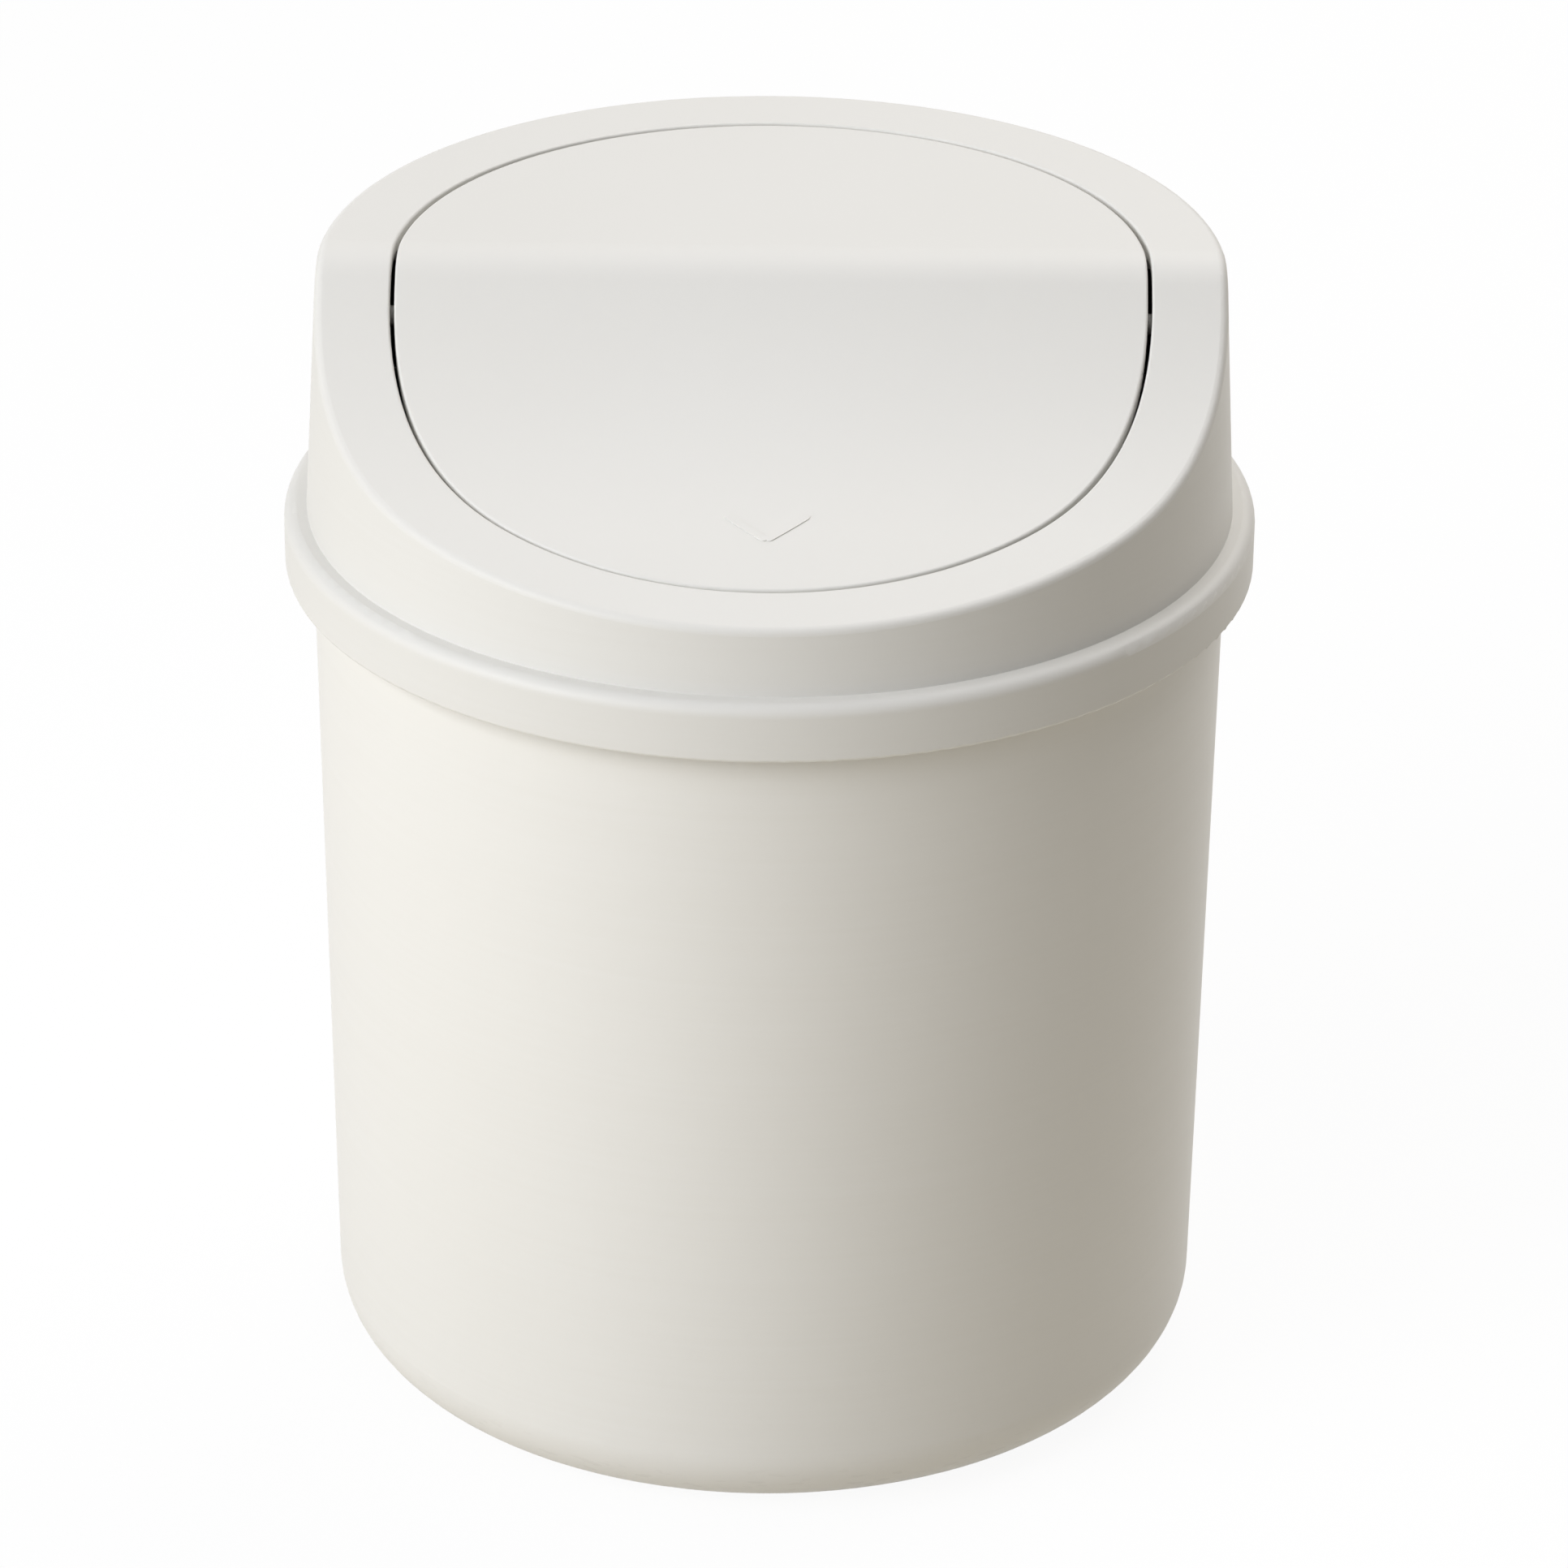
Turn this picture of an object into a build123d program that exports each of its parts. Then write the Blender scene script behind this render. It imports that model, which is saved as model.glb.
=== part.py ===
from build123d import *
import os
from math import cos, hypot, radians, sqrt, tan

# Countertop swing-lid bin, in millimetres. +Z is up and the origin is the middle of the base, on the
# surface that the bin stands on. -Y is the front, where the flap is pushed in and the lid is low.

# Bin body
body_height = 131.5           # up to the flat top of the rim
mouth_radius = 66.1           # outside of the wall at the rim
base_radius = 64.4            # outside of the wall, carried down its taper to the base
body_wall = 1.8
floor_thickness = 2.0
base_corner_radius = 10.0
foot_width = 5.0              # flat ring that touches the surface below
foot_recess = 1.0             # how far the floor is raised inside that ring
foot_edge_radius = 0.6
bead_reach = 1.4              # stiffening bead round the outside of the rim
bead_height = 3.2
bead_edge_radius = 0.6

# Lid hood: collar, shoulder and plug ring
lid_wall = 1.8
shoulder_thickness = 2.3      # rests on the rim
collar_height = 8.5           # from its lower edge to the top of the shoulder
collar_clearance = 0.8        # all round the rim bead
collar_shoulder_radius = 1.8
shoulder_flat = 0.4           # least width that stays flat inside that radius
collar_edge_radius = 0.5
plug_wall = 1.5               # ring that centres the lid inside the mouth
plug_depth = 5.0
plug_clearance = 0.4

# Lid hood: drafted wall and scooped top
hood_step = 0.75              # the wall starts this much outside the mouth
hood_height = 36.9            # from the shoulder to the high rear
hood_front_height = 9.6       # from the shoulder to the low front
hood_draft = 3.2              # degrees
hood_edge_radius = 1.2
ridge_y = 0.9                 # where the flat rear turns down
ridge_radius = 10.5
slope_angle = 40.9            # degrees, just below the ridge
apron_angle = 10.7            # degrees, at the low front
scoop_share = 0.98            # share of the slope that the hollow curve takes up
rim_width = 12.7              # from the outside of the hood's foot in to the opening, at the sides
opening_centre_y = -1.4       # middle of the opening's round rear half
opening_stretch = 1.8         # straight sides between that half and the front one

# Swing flap
flap_gap = 0.65               # to the edge of the opening, at the sides
flap_shift = 0.25             # forward in the opening, where the gap shows most
flap_wall = 1.8
flap_edge_radius = 0.35       # also on the edge of the opening
rib_inset = 2.6               # from the flap's edge to its stiffening rib
rib_width = 1.6
rib_depth = 3.6               # below the scooped surface
balance_width = 3.4           # thicker, deeper rib at the rear, which swings the flap shut
balance_depth = 7.0
balance_half_angle = 55.0     # degrees, each side of the rear
arrow_inset = 11.4            # from the flap's front edge to the arrow's tip
arrow_arm = 8.1
arrow_stroke = 1.2
arrow_half_angle = 45.0       # degrees, between an arm and the line to the rear
arrow_height = 0.15

# Ledge under the rear of the opening, on which the closed flap rests
ledge_from_pivot = 8.3        # where it ends, behind the pivot
ledge_overlap = 2.0           # how far it reaches under the flap's edge
ledge_thickness = 1.4
ledge_clearance = 0.3
ledge_root = 1.8              # width that hangs from the rim

# Pivots
pivot_from_ridge = 3.2        # in front of the ridge
swing_angle = 75.0            # degrees, from closed to the stops
pin_radius = 1.5
pin_interference = 0.02       # pin in the flap's boss
pin_running_clearance = 0.08  # pin in the lid's bearing
pin_head_radius = 2.3
pin_head_thickness = 1.2
pin_head_clearance = 0.3      # under the flap's skin
pin_tip = 0.6                 # stands out of the bearing, chamfered
boss_wall = 1.4
boss_length = 6.0
bearing_wall = 2.2
bearing_thickness = 3.0
bearing_clearance = 0.3       # from the edge of the opening
gusset_thickness = 1.4
nib_width = 3.0               # stop nib that the flap's edge meets at full swing
nib_thickness = 2.0
nib_distance = 12.5           # from the pivot
nib_overlap = 0.95            # least that it reaches under the flap's edge
nib_clearance = 0.3

# Sizes that follow from those above
shoulder_top = body_height + shoulder_thickness
collar_bottom = shoulder_top - collar_height
collar_radius = mouth_radius + bead_reach + collar_clearance + lid_wall
plug_radius = mouth_radius - body_wall - plug_clearance
hood_base_radius = mouth_radius + hood_step
hood_top = shoulder_top + hood_height
hood_front_top = shoulder_top + hood_front_height
opening_radius = hood_base_radius - rim_width
flap_radius = opening_radius - flap_gap
flap_centre_y = opening_centre_y - flap_shift
flap_front_y = flap_centre_y - opening_stretch - flap_radius
rib_radius = flap_radius - rib_inset
pivot_y = ridge_y - pivot_from_ridge
pivot_depth = flap_wall + pin_head_clearance + pin_head_radius
ledge_end_y = pivot_y + ledge_from_pivot
arrow_tip_y = flap_front_y + arrow_inset
boss_radius = pin_radius + boss_wall
bearing_radius = pin_radius + pin_running_clearance + bearing_wall
slope = radians(slope_angle)
apron = radians(apron_angle)
beyond = 2 * hood_top
level_tolerance = 0.2         # an edge this close to a level lies on it

standing = (Align.CENTER, Align.CENTER, Align.MIN)


def cylinder(radius, low, high, y=0):
    return Pos(0, y, low) * Cylinder(radius, high - low, align=standing)


def ring(outer, inner, low, high, y=0):
    return cylinder(outer, low, high, y) - cylinder(inner, low, high, y)


def oval(radius, low, high, y):
    """Upright block in the opening's shape: two round halves with short straight sides between them."""
    outline = SlotCenterToCenter(opening_stretch, 2 * radius, rotation=90)
    return Pos(0, y - opening_stretch / 2, low) * extrude(outline, amount=high - low)


def oval_ring(outer, inner, low, high, y):
    return oval(outer, low, high, y) - oval(inner, low, high, y)


def softened(solid, edges, radius):
    """The solid with these edges rounded."""
    return solid.fillet(radius, edges)


def round_edges(solid, level):
    """Round edges that lie flat at a level."""
    circles = solid.edges().filter_by(GeomType.CIRCLE)
    return [edge for edge in circles if abs(edge.center().Z - level) < level_tolerance]


# Scooped surface that the rim and the flap share: a flat rear, a ridge, a hollow slope and an apron

def slope_height(y, depth):
    return hood_top + (y - ridge_y) * tan(slope) - depth / cos(slope)


def apron_height(y, depth):
    return hood_front_top + (y + hood_base_radius) * tan(apron) - depth / cos(apron)


def toe_y(depth):
    """Where the slope's straight line meets the apron's."""
    return (apron_height(0, depth) - slope_height(0, depth)) / (tan(slope) - tan(apron))


def scoop_radius():
    """Radius of the hollow curve, from the length of slope that the ridge leaves it."""
    slope_length = (ridge_y - toe_y(0)) / cos(slope)
    free_length = slope_length - ridge_radius * tan(slope / 2)
    return scoop_share * free_length / tan((slope - apron) / 2)


def under_scoop(depth):
    """Everything under a surface that runs parallel to the scoop, a depth below it."""
    roof = hood_top - depth
    turn_down = (ridge_y + depth * tan(slope / 2), roof)
    toe = (toe_y(depth), apron_height(toe_y(depth), depth))
    rear = (beyond, roof)
    front = (-beyond, apron_height(-beyond, depth))
    radii = (max(ridge_radius - depth, 0), scoop_radius() + depth)
    surface = FilletPolyline(rear, turn_down, toe, front, radius=radii)
    sides = Polyline(front, (-beyond, -beyond), (beyond, -beyond), rear)
    return extrude(Plane.YZ * make_face(surface + sides), amount=beyond, both=True)


def top_outline(solid):
    """Curved edges above the shoulder: the outline of the scooped face."""
    curved = [edge for edge in solid.edges() if edge.geom_type != GeomType.LINE]
    return [edge for edge in curved if edge.center().Z > shoulder_top + hood_edge_radius]


# Bin body

def bin_body():
    inner_radius = base_radius - body_wall
    floor_top = foot_recess + floor_thickness
    shell = Cone(base_radius, mouth_radius, body_height, align=standing)
    shell = softened(shell, round_edges(shell, 0), base_corner_radius)
    hollow = Cone(inner_radius, mouth_radius - body_wall, body_height, align=standing)
    hollow = hollow - cylinder(base_radius, 0, floor_top)
    hollow = softened(hollow, round_edges(hollow, floor_top), base_corner_radius - body_wall)
    recess_radius = base_radius - base_corner_radius - foot_width
    recess = cylinder(recess_radius, 0, foot_recess)
    recess = softened(recess, round_edges(recess, foot_recess), foot_edge_radius)
    bead_low = body_height - bead_height
    bead = ring(mouth_radius + bead_reach, mouth_radius - body_wall / 2, bead_low, body_height)
    rims = [edge for edge in bead.edges().filter_by(GeomType.CIRCLE) if edge.radius > mouth_radius]
    bead = softened(bead, rims, bead_edge_radius)
    return shell + bead - hollow - recess


# Lid hood

def hood_cone(inset):
    """The drafted hood, whole up to its top, with its side moved in."""
    taper = hood_height * tan(radians(hood_draft))
    cone = Cone(hood_base_radius - inset, hood_base_radius - inset - taper, hood_height, align=standing)
    return Pos(0, 0, shoulder_top) * cone


def hood_crown():
    """The hood above the shoulder, still solid, with its opening and soft edges."""
    crown = hood_cone(0) & under_scoop(0)
    crown = softened(crown, top_outline(crown), hood_edge_radius)
    crown = crown - oval(opening_radius, 0, beyond, opening_centre_y)
    near = opening_radius + opening_stretch + flap_gap
    mouth = [edge for edge in top_outline(crown) if off_opening_axis(edge) < near]
    return softened(crown, mouth, flap_edge_radius)


def off_opening_axis(edge):
    """How far the middle of an edge is from the middle of the opening's rear half, seen from above."""
    middle = edge.center()
    return hypot(middle.X, middle.Y - opening_centre_y)


def collar():
    solid = cylinder(collar_radius, collar_bottom, shoulder_top)
    shoulder_radius = min(collar_shoulder_radius, collar_radius - hood_base_radius - shoulder_flat)
    solid = softened(solid, round_edges(solid, shoulder_top), shoulder_radius)
    return softened(solid, round_edges(solid, collar_bottom), collar_edge_radius)


def rear_of(level_y):
    """Everything behind a line across the lid."""
    return Pos(0, level_y + beyond, 0) * Box(2 * beyond, 2 * beyond, 2 * beyond)


def closing_ledge():
    """Ledge that hangs from the rim's rear half and reaches under the flap's edge."""
    top = flap_wall + ledge_clearance
    bottom = top + ledge_thickness
    root_radius = opening_radius + ledge_root
    shelf = under_scoop(top) & ring(root_radius, flap_radius - ledge_overlap, 0, beyond, opening_centre_y)
    root = under_scoop(lid_wall / 2) & ring(root_radius, opening_radius, 0, beyond, opening_centre_y)
    return ((shelf + root) - under_scoop(bottom)) & rear_of(ledge_end_y)


def lid_hood():
    hood = hood_crown() + collar()
    hood = hood - (hood_cone(lid_wall) & under_scoop(lid_wall))
    hood = hood - cylinder(collar_radius - lid_wall, 0, body_height)
    hood = hood - cylinder(plug_radius - plug_wall, 0, shoulder_top + lid_wall)
    hood = hood + ring(plug_radius, plug_radius - plug_wall, body_height - plug_depth, shoulder_top)
    hood = hood + closing_ledge()
    for side in (-1, 1):
        hood = hood + bearing(side)
    return hood


# Pivots: a bearing each side under the hood's rim, a boss each side under the flap, and a pin in each

def pivot_height():
    """A depth under the scoop, on its roof or on its slope."""
    return min(hood_top - pivot_depth, slope_height(pivot_y, pivot_depth))


def flap_side(y_from_pivot):
    """How far the flap's edge is from the middle, at a distance in front of the pivot or behind it."""
    y = abs(pivot_y - flap_centre_y) + y_from_pivot
    return sqrt(flap_radius ** 2 - y ** 2)


def across(profile, start, end, side):
    """A profile in the front-to-rear plane, made solid between two distances from the middle."""
    low = min(side * start, side * end)
    return Pos(low, pivot_y, pivot_height()) * extrude(Plane.YZ * profile, amount=end - start)


def strut(width, y=0):
    """Profile of a straight web that goes up from the pivot to what carries it."""
    return Pos(y, 0) * Rectangle(width, beyond, align=(Align.CENTER, Align.MIN))


def eye(radius):
    """A round eye with a neck as wide as itself."""
    return Circle(radius) + strut(2 * radius)


def swung(solid):
    """Where a piece of the flap is when the flap is fully in."""
    to_pivot = Pos(0, pivot_y, pivot_height())
    return to_pivot * Rot(swing_angle, 0, 0) * Pos(0, -pivot_y, -pivot_height()) * solid


def stop_nib(side, back):
    """Block that lies along the underside of the flap's edge when the flap is fully in."""
    depth = flap_wall + nib_clearance
    layer = under_scoop(depth) - under_scoop(depth + nib_thickness)
    start = flap_side(nib_distance) - nib_overlap
    window = Box(back - start, nib_width, 2 * beyond)
    return swung(layer & Pos(side * (start + back) / 2, pivot_y - nib_distance * cos(slope), 0) * window)


def bearing(side):
    """Plate with an eye for the pin, an arm that carries the stop nib, and gussets to the wall."""
    face = opening_radius + bearing_clearance
    back = face + bearing_thickness
    arm = SlotCenterToCenter(nib_distance, 2 * bearing_radius)
    arm = Rot(0, 0, swing_angle + slope_angle) * Pos(-nib_distance / 2, 0) * arm
    plate = across(eye(bearing_radius), face, back, side) + across(arm, face, back, side)
    offset = bearing_radius - gusset_thickness / 2
    gussets = strut(gusset_thickness, offset) + strut(gusset_thickness, -offset)
    plate = plate + across(gussets, back, hood_base_radius, side)
    plate = plate & under_scoop(lid_wall / 2) & hood_cone(lid_wall / 2)
    bore = across(Circle(pin_radius + pin_running_clearance), 0, beyond, side)
    return plate + stop_nib(side, back) - bore


def boss_face():
    return flap_side(boss_radius)


def flap_boss(side):
    boss = across(eye(boss_radius), boss_face() - boss_length, boss_face(), side)
    return boss & under_scoop(flap_wall / 2)


def pivot_pin(side):
    head_back = boss_face() - boss_length
    end = opening_radius + bearing_clearance + bearing_thickness + pin_tip
    head = across(Circle(pin_head_radius), head_back - pin_head_thickness, head_back, side)
    shank = across(Circle(pin_radius), head_back, end, side)
    tip = shank.faces().sort_by(lambda face: side * face.center().X)[-1]
    return head + chamfer(tip.edges(), pin_tip)


# Swing flap

def sector(half_angle):
    """Everything within an angle of straight back, seen from the middle of the flap's rear half."""
    reach = beyond * tan(radians(half_angle))
    wedge = make_face(Polyline((0, 0), (reach, beyond), (-reach, beyond), (0, 0)))
    return extrude(Pos(0, flap_centre_y) * wedge, amount=beyond)


def flap_rib():
    """Stiffening rib all round, heavier at the rear."""
    plain = oval_ring(rib_radius, rib_radius - rib_width, 0, beyond, flap_centre_y)
    heavy = oval_ring(rib_radius, rib_radius - balance_width, 0, beyond, flap_centre_y)
    plain = plain - under_scoop(rib_depth)
    heavy = (heavy - under_scoop(balance_depth)) & sector(balance_half_angle)
    return (plain + heavy) & under_scoop(flap_wall / 2)


def arrow():
    """Raised arrow that points to the edge to push."""
    layer = under_scoop(-arrow_height) - under_scoop(flap_wall / 2)
    arms = Sketch()
    for side in (-1, 1):
        arm = Pos(0, arrow_arm / 2) * SlotOverall(arrow_arm, arrow_stroke, rotation=90)
        arms += Rot(0, 0, side * arrow_half_angle) * arm
    return layer & extrude(Pos(0, arrow_tip_y) * arms, amount=beyond)


def swing_flap():
    flap = oval(flap_radius, 0, beyond, flap_centre_y) & under_scoop(0)
    flap = softened(flap, top_outline(flap), flap_edge_radius)
    flap = flap - under_scoop(flap_wall)
    flap = flap + flap_rib() + arrow()
    for side in (-1, 1):
        bore = across(Circle(pin_radius - pin_interference), 0, beyond, side)
        flap = flap + flap_boss(side) - bore
    return flap


os.makedirs("parts", exist_ok=True)
export_step(bin_body(), "parts/bin_body.step")
export_step(lid_hood(), "parts/lid_hood.step")
export_step(swing_flap(), "parts/swing_flap.step")
export_step(pivot_pin(-1), "parts/pivot_pin_left.step")
export_step(pivot_pin(1), "parts/pivot_pin_right.step")
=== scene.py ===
from math import cos, radians, sin

import bmesh
import bpy
from mathutils import Matrix, Vector

# Tabletop swing-lid bin in satin ivory plastic. Metres, with +Z up and the front of the bin at -Y.

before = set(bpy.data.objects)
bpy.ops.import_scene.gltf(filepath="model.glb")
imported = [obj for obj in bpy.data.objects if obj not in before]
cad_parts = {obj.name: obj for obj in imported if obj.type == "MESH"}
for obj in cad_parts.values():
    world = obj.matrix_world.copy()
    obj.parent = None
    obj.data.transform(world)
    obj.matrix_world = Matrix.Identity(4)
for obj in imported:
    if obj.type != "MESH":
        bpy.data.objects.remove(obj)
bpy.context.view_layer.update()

# Colours, as linear red, green and blue
IVORY = (0.84, 0.83, 0.795, 1.0)
IVORY_DEEP = (0.815, 0.80, 0.755, 1.0)     # where the moulding is a touch thicker and yellower
LID_IVORY = (0.773, 0.764, 0.731, 1.0)     # the lid and flap come out a shade darker than the bin
LID_DEEP = (0.750, 0.736, 0.695, 1.0)
SCUFF = (0.62, 0.60, 0.56, 1.0)
ACETAL = (0.76, 0.75, 0.72, 1.0)
ACETAL_DEEP = (0.68, 0.67, 0.63, 1.0)
WHITE = (1.0, 1.0, 1.0, 1.0)
FLOOR_PALE = (0.70, 0.65, 0.545, 1.0)
ROOM_WARM = (1.0, 0.98, 0.97, 1.0)
KEY_COOL = (0.94, 0.96, 1.0)
BACK_WARM = (1.0, 0.97, 0.935)
TOP_COOL = (0.93, 0.94, 1.0)

# Gloss
BIN_ROUGHNESS = 0.46
LID_ROUGHNESS = 0.48
FLAP_ROUGHNESS = 0.50
PIN_ROUGHNESS = 0.28
GRAIN_SHINE = 0.18                         # spread of the roughness over the grain's whole range
PLASTIC_IOR = 1.49
SHEEN_LEVEL = 0.38                         # weaker than clear plastic's, as the grain breaks it up

# Relief
GRAIN_HEIGHT = 0.00003
PIN_GRAIN_HEIGHT = 0.00001
RELIEF_STRENGTH = 0.35
RING_RELIEF = 0.6                          # height of the turned rings, as a share of the grain's

# Noise, whose scales are along X, Y and Z, for each metre
PLAIN_DETAIL = 2.0
NOISE_MIDDLE = 0.5

# Turned rings on upright walls
RING_SCALE = (22.0, 22.0, 1250.0)
RING_DETAIL = 3.0
RING_SHARE = 0.7                           # the rest is broader bands
BAND_SCALE = (9.0, 9.0, 240.0)
RINGS_FULL_TILT = 0.12                     # upward part of the normal up to which they show in full
RINGS_GONE_TILT = 0.35                     # and past which they don't show
RING_TONE = 0.9                            # how far they move the tone, against 1 for the drift

# Spark grain and slow drift of tone
FINE_GRAIN_SCALE = (3200.0, 3200.0, 3200.0)
FINE_GRAIN_SHARE = 0.65                    # the rest is coarser grain
COARSE_GRAIN_SCALE = (900.0, 900.0, 900.0)
DRIFT_SCALE = (16.0, 16.0, 9.0)

# Scuffs near the bin's foot
SCUFFED_BELOW = 0.010                      # height at which the last ones fade out
SCUFF_SCALE = (260.0, 260.0, 900.0)
SCUFF_DETAIL = 4.0
SCUFF_LEVEL = 0.62                         # a mark is left where the noise is above this
SCUFF_DEPTH = 0.35

# Camera
VIEW_DISTANCE = 1.0140                     # to the point on the bin's axis that it is aimed at
VIEW_ELEVATION = radians(26.74)
VIEW_TURN = radians(0.5)                   # off straight front, to the bin's right
VIEW_HEIGHT = 0.08695
VIEW_ROLL = radians(0.447)
VIEW_LENS = 157.66
VIEW_SHIFT = 0.01054
SENSOR = 36.0

# Lights, whose turns are from straight front towards the bin's left
LIGHT_DISTANCE = 1.4
KEY_ELEVATION = radians(29.0)
KEY_SIZE = 0.9
SIDE_KEY_TURN = radians(60.0)
SIDE_KEY_POWER = 11.3
FRONT_KEY_TURN = radians(40.0)
FRONT_KEY_POWER = 5.5
BACK_TURN = radians(215.0)
BACK_ELEVATION = radians(50.0)
BACK_SIZE = 1.2
BACK_POWER = 11.2
TOP_TURN = 0.0
TOP_ELEVATION = radians(88.0)
TOP_SIZE = 1.2
TOP_POWER = 2.5

# Floor and room
ROOM_STRENGTH = 0.17
FLOOR_SIZE = 12.0
FLOOR_GLOW = 0.93                          # share of the floor's look that is plain white

# Colour sockets of a Mix node, whose names its number and vector sockets share
MIX_FIRST = 6
MIX_SECOND = 7
MIX_RESULT = 2


# Node helpers

def node(tree, kind, **settings):
    made = tree.nodes.new(kind)
    for name, value in settings.items():
        setattr(made, name, value)
    return made


def feed(tree, slot, value):
    """Links a node's output to the slot, or sets the slot to a plain number or colour."""
    if isinstance(value, bpy.types.NodeSocket):
        tree.links.new(value, slot)
    else:
        slot.default_value = value


def math_node(tree, operation, *values):
    """The result of a Math node on node outputs or plain numbers."""
    made = node(tree, "ShaderNodeMath", operation=operation)
    for slot, value in zip(made.inputs, values):
        feed(tree, slot, value)
    return made.outputs[0]


def blended(tree, first, second, first_share):
    """Two values added up in shares that make one."""
    part = math_node(tree, "MULTIPLY", first, first_share)
    rest = math_node(tree, "MULTIPLY", second, 1.0 - first_share)
    return math_node(tree, "ADD", part, rest)


def mix_colour(tree, factor, low, high):
    made = node(tree, "ShaderNodeMix", data_type="RGBA")
    feed(tree, made.inputs["Factor"], factor)
    feed(tree, made.inputs[MIX_FIRST], low)
    feed(tree, made.inputs[MIX_SECOND], high)
    return made.outputs[MIX_RESULT]


def ramp(tree, value, none_at, full_at):
    """0 at or past one limit, 1 at or past the other, and an even slope in between."""
    made = node(tree, "ShaderNodeMapRange")
    tree.links.new(value, made.inputs["Value"])
    made.inputs["From Min"].default_value = none_at
    made.inputs["From Max"].default_value = full_at
    return made.outputs[0]


def upward_part(tree, vector):
    """The Z part of a vector."""
    split = node(tree, "ShaderNodeSeparateXYZ")
    tree.links.new(vector, split.inputs[0])
    return split.outputs["Z"]


def noise(tree, point, scale, detail=PLAIN_DETAIL):
    """Noise on a point that is stretched by a scale for each direction; returns its value."""
    mapping = node(tree, "ShaderNodeMapping")
    tree.links.new(point, mapping.inputs["Vector"])
    mapping.inputs["Scale"].default_value = scale
    made = node(tree, "ShaderNodeTexNoise")
    tree.links.new(mapping.outputs[0], made.inputs["Vector"])
    made.inputs["Scale"].default_value = 1.0     # the mapping does the scaling
    made.inputs["Detail"].default_value = detail
    return made.outputs["Fac"]


# Shared surface effects

def effect_group(name, *vectors):
    """A new shader node group that takes vectors and puts out a mask, with its two end nodes."""
    group = bpy.data.node_groups.new(name, "ShaderNodeTree")
    for vector in vectors:
        group.interface.new_socket(vector, in_out="INPUT", socket_type="NodeSocketVector")
    group.interface.new_socket("Mask", in_out="OUTPUT", socket_type="NodeSocketFloat")
    return group, node(group, "NodeGroupInput"), node(group, "NodeGroupOutput")


def turned_marks_group():
    """Faint rings that the turned mould leaves round an upright wall, none on level faces."""
    group, start, end = effect_group("turned_marks", "Point", "Facing")
    rings = noise(group, start.outputs["Point"], RING_SCALE, RING_DETAIL)
    bands = noise(group, start.outputs["Point"], BAND_SCALE)
    marks = blended(group, rings, bands, RING_SHARE)
    centred = math_node(group, "SUBTRACT", marks, NOISE_MIDDLE)
    tilt = math_node(group, "ABSOLUTE", upward_part(group, start.outputs["Facing"]))
    upright = ramp(group, tilt, RINGS_GONE_TILT, RINGS_FULL_TILT)
    group.links.new(math_node(group, "MULTIPLY", centred, upright), end.inputs["Mask"])
    return group


def spark_grain_group():
    """Fine even grain of a spark-eroded mould, from a fraction of a millimetre up."""
    group, start, end = effect_group("spark_grain", "Point")
    fine = noise(group, start.outputs["Point"], FINE_GRAIN_SCALE)
    coarse = noise(group, start.outputs["Point"], COARSE_GRAIN_SCALE)
    group.links.new(blended(group, fine, coarse, FINE_GRAIN_SHARE), end.inputs["Mask"])
    return group


def flow_drift_group():
    """Slow drift of tone through the moulding, as the plastic flowed."""
    group, start, end = effect_group("flow_drift", "Point")
    group.links.new(noise(group, start.outputs["Point"], DRIFT_SCALE), end.inputs["Mask"])
    return group


TURNED_MARKS = turned_marks_group()
SPARK_GRAIN = spark_grain_group()
FLOW_DRIFT = flow_drift_group()


def placed(tree, group, links):
    """A group's mask, with the group placed in a material and its named inputs linked."""
    made = node(tree, "ShaderNodeGroup", node_tree=group)
    for name, value in links.items():
        tree.links.new(value, made.inputs[name])
    return made.outputs["Mask"]


# Materials

def with_scuffs(tree, point, tone, height):
    """The tone with small scuffs from the foot up, which fade out at a height."""
    low = ramp(tree, upward_part(tree, point), height, 0.0)
    uneven = noise(tree, point, SCUFF_SCALE, SCUFF_DETAIL)
    worn = math_node(tree, "MULTIPLY", low, math_node(tree, "GREATER_THAN", uneven, SCUFF_LEVEL))
    return mix_colour(tree, math_node(tree, "MULTIPLY", worn, SCUFF_DEPTH), tone, SCUFF)


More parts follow.
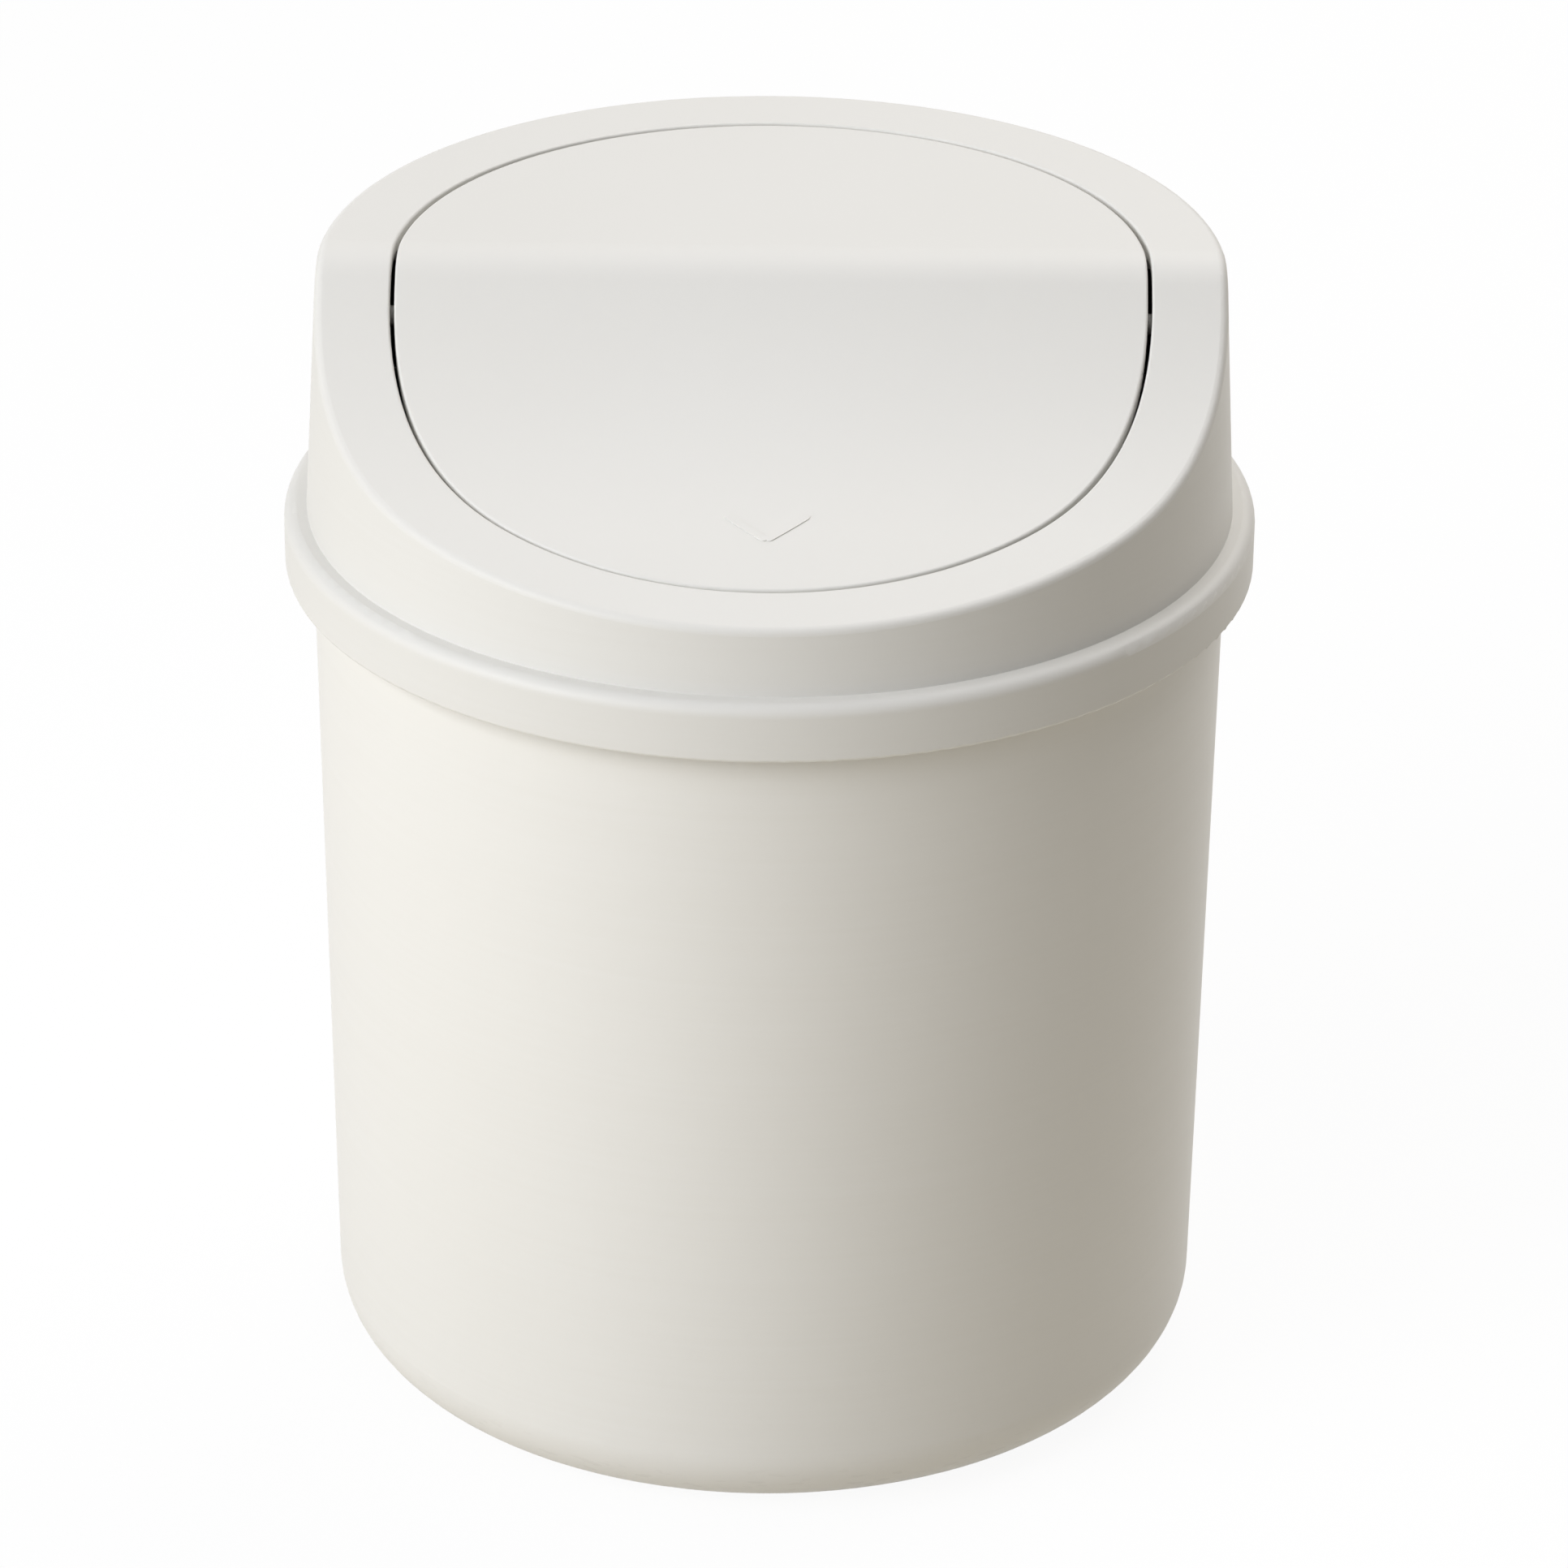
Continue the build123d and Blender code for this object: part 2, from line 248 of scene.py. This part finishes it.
def moulded_plastic(name, colour, deep, roughness, grain_height, ring_tone=0.0, scuffed_below=None):
    """Satin moulded plastic: drifting tone, grain, turned rings on walls, scuffs near the foot."""
    material = bpy.data.materials.new(name)
    material.use_nodes = True
    tree = material.node_tree
    shader = tree.nodes["Principled BSDF"]
    shader.inputs["IOR"].default_value = PLASTIC_IOR
    shader.inputs["Specular IOR Level"].default_value = SHEEN_LEVEL
    place = node(tree, "ShaderNodeTexCoord")
    point = place.outputs["Object"]
    drift = placed(tree, FLOW_DRIFT, {"Point": point})
    grain = placed(tree, SPARK_GRAIN, {"Point": point})
    rings = placed(tree, TURNED_MARKS, {"Point": point, "Facing": place.outputs["Normal"]})
    depth = math_node(tree, "MULTIPLY_ADD", rings, ring_tone, drift)
    tone = mix_colour(tree, depth, colour, deep)
    if scuffed_below is not None:
        tone = with_scuffs(tree, point, tone, scuffed_below)
    tree.links.new(tone, shader.inputs["Base Color"])
    uneven = math_node(tree, "SUBTRACT", grain, NOISE_MIDDLE)
    shine = math_node(tree, "MULTIPLY_ADD", uneven, GRAIN_SHINE, roughness)
    tree.links.new(shine, shader.inputs["Roughness"])
    bump = node(tree, "ShaderNodeBump")
    bump.inputs["Strength"].default_value = RELIEF_STRENGTH
    bump.inputs["Distance"].default_value = grain_height
    relief = math_node(tree, "MULTIPLY_ADD", rings, RING_RELIEF, grain)
    tree.links.new(relief, bump.inputs["Height"])
    tree.links.new(bump.outputs[0], shader.inputs["Normal"])
    return material


def dress(name, material):
    """Gives a CAD part its finish."""
    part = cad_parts[name]
    for place in part.material_slots:
        place.material = material


dress("bin_body", moulded_plastic(
    "bin_ivory", IVORY, IVORY_DEEP, BIN_ROUGHNESS, GRAIN_HEIGHT, RING_TONE, SCUFFED_BELOW))
dress("lid_hood", moulded_plastic(
    "lid_ivory", LID_IVORY, LID_DEEP, LID_ROUGHNESS, GRAIN_HEIGHT, RING_TONE))
dress("swing_flap", moulded_plastic(
    "flap_ivory", LID_IVORY, LID_DEEP, FLAP_ROUGHNESS, GRAIN_HEIGHT))
for pin in ("pivot_pin_left", "pivot_pin_right"):
    dress(pin, moulded_plastic(
        "acetal_" + pin, ACETAL, ACETAL_DEEP, PIN_ROUGHNESS, PIN_GRAIN_HEIGHT))


# Floor and room

def white_for_camera(tree, shown, lighting):
    """A shader that is shown to the camera and in gloss, while another one lights the bin."""
    path = node(tree, "ShaderNodeLightPath")
    seen = math_node(tree, "MAXIMUM", path.outputs["Is Camera Ray"], path.outputs["Is Glossy Ray"])
    seen = math_node(tree, "MAXIMUM", seen, path.outputs["Is Transmission Ray"])
    mixed = node(tree, "ShaderNodeMixShader")
    tree.links.new(seen, mixed.inputs[0])
    tree.links.new(lighting, mixed.inputs[1])
    tree.links.new(shown, mixed.inputs[2])
    return mixed.outputs[0]


def coloured(tree, kind, colour):
    """A shader node of one plain colour."""
    made = node(tree, kind)
    made.inputs["Color"].default_value = colour
    return made


def floor_material():
    """Pale paint that lights the bin, and shows white apart from the bin's faint shadow."""
    material = bpy.data.materials.new("floor_pale")
    material.use_nodes = True
    tree = material.node_tree
    tree.nodes.clear()
    paint = coloured(tree, "ShaderNodeBsdfDiffuse", FLOOR_PALE)
    glow = coloured(tree, "ShaderNodeEmission", WHITE)
    shadowed = coloured(tree, "ShaderNodeBsdfDiffuse", WHITE)
    shown = node(tree, "ShaderNodeMixShader")
    shown.inputs[0].default_value = FLOOR_GLOW
    tree.links.new(shadowed.outputs[0], shown.inputs[1])
    tree.links.new(glow.outputs[0], shown.inputs[2])
    end = node(tree, "ShaderNodeOutputMaterial")
    surface = white_for_camera(tree, shown.outputs[0], paint.outputs[0])
    tree.links.new(surface, end.inputs["Surface"])
    return material


def floor():
    """Flat floor at the bin's base, which isn't part of the bin."""
    shape = bmesh.new()
    bmesh.ops.create_grid(shape, x_segments=1, y_segments=1, size=FLOOR_SIZE / 2)
    mesh = bpy.data.meshes.new("floor")
    shape.to_mesh(mesh)
    shape.free()
    mesh.materials.append(floor_material())
    made = bpy.data.objects.new("floor", mesh)
    bpy.context.scene.collection.objects.link(made)


def room():
    """Weak even fill from all round, which shows as plain white."""
    world = bpy.data.worlds.new("room")
    bpy.context.scene.world = world
    world.use_nodes = True
    tree = world.node_tree
    tree.nodes.clear()
    fill = coloured(tree, "ShaderNodeBackground", ROOM_WARM)
    fill.inputs["Strength"].default_value = ROOM_STRENGTH
    shown = coloured(tree, "ShaderNodeBackground", WHITE)
    end = node(tree, "ShaderNodeOutputWorld")
    surface = white_for_camera(tree, shown.outputs[0], fill.outputs[0])
    tree.links.new(surface, end.inputs["Surface"])


# Lamps and camera

def aimed(eye, target, roll=0.0):
    """Place and turn of a camera or lamp at a point, looking at another."""
    turn = (Vector(target) - Vector(eye)).to_track_quat("-Z", "Y").to_matrix().to_4x4()
    return Matrix.Translation(eye) @ turn @ Matrix.Rotation(roll, 4, "Z")


def lamp(name, turn, elevation, size, power, colour):
    """Square soft light, aimed at the point that the camera is aimed at."""
    target = Vector((0, 0, VIEW_HEIGHT))
    away = Vector((-sin(turn) * cos(elevation), -cos(turn) * cos(elevation), sin(elevation)))
    light = bpy.data.lights.new(name, "AREA")
    light.size = size
    light.energy = power
    light.color = colour
    made = bpy.data.objects.new(name, light)
    bpy.context.scene.collection.objects.link(made)
    made.matrix_world = aimed(target + away * LIGHT_DISTANCE, target)


def camera():
    lens = bpy.data.cameras.new("camera")
    lens.sensor_width = SENSOR
    lens.lens = VIEW_LENS
    lens.shift_x = VIEW_SHIFT
    made = bpy.data.objects.new("camera", lens)
    bpy.context.scene.collection.objects.link(made)
    reach = VIEW_DISTANCE * cos(VIEW_ELEVATION)
    height = VIEW_HEIGHT + VIEW_DISTANCE * sin(VIEW_ELEVATION)
    eye = (reach * sin(VIEW_TURN), -reach * cos(VIEW_TURN), height)
    made.matrix_world = aimed(eye, (0, 0, VIEW_HEIGHT), VIEW_ROLL)
    bpy.context.scene.camera = made


floor()
room()
lamp("side_key", SIDE_KEY_TURN, KEY_ELEVATION, KEY_SIZE, SIDE_KEY_POWER, KEY_COOL)
lamp("front_key", FRONT_KEY_TURN, KEY_ELEVATION, KEY_SIZE, FRONT_KEY_POWER, KEY_COOL)
lamp("back", BACK_TURN, BACK_ELEVATION, BACK_SIZE, BACK_POWER, BACK_WARM)
lamp("top", TOP_TURN, TOP_ELEVATION, TOP_SIZE, TOP_POWER, TOP_COOL)
camera()
bpy.context.scene.view_settings.view_transform = "Standard"
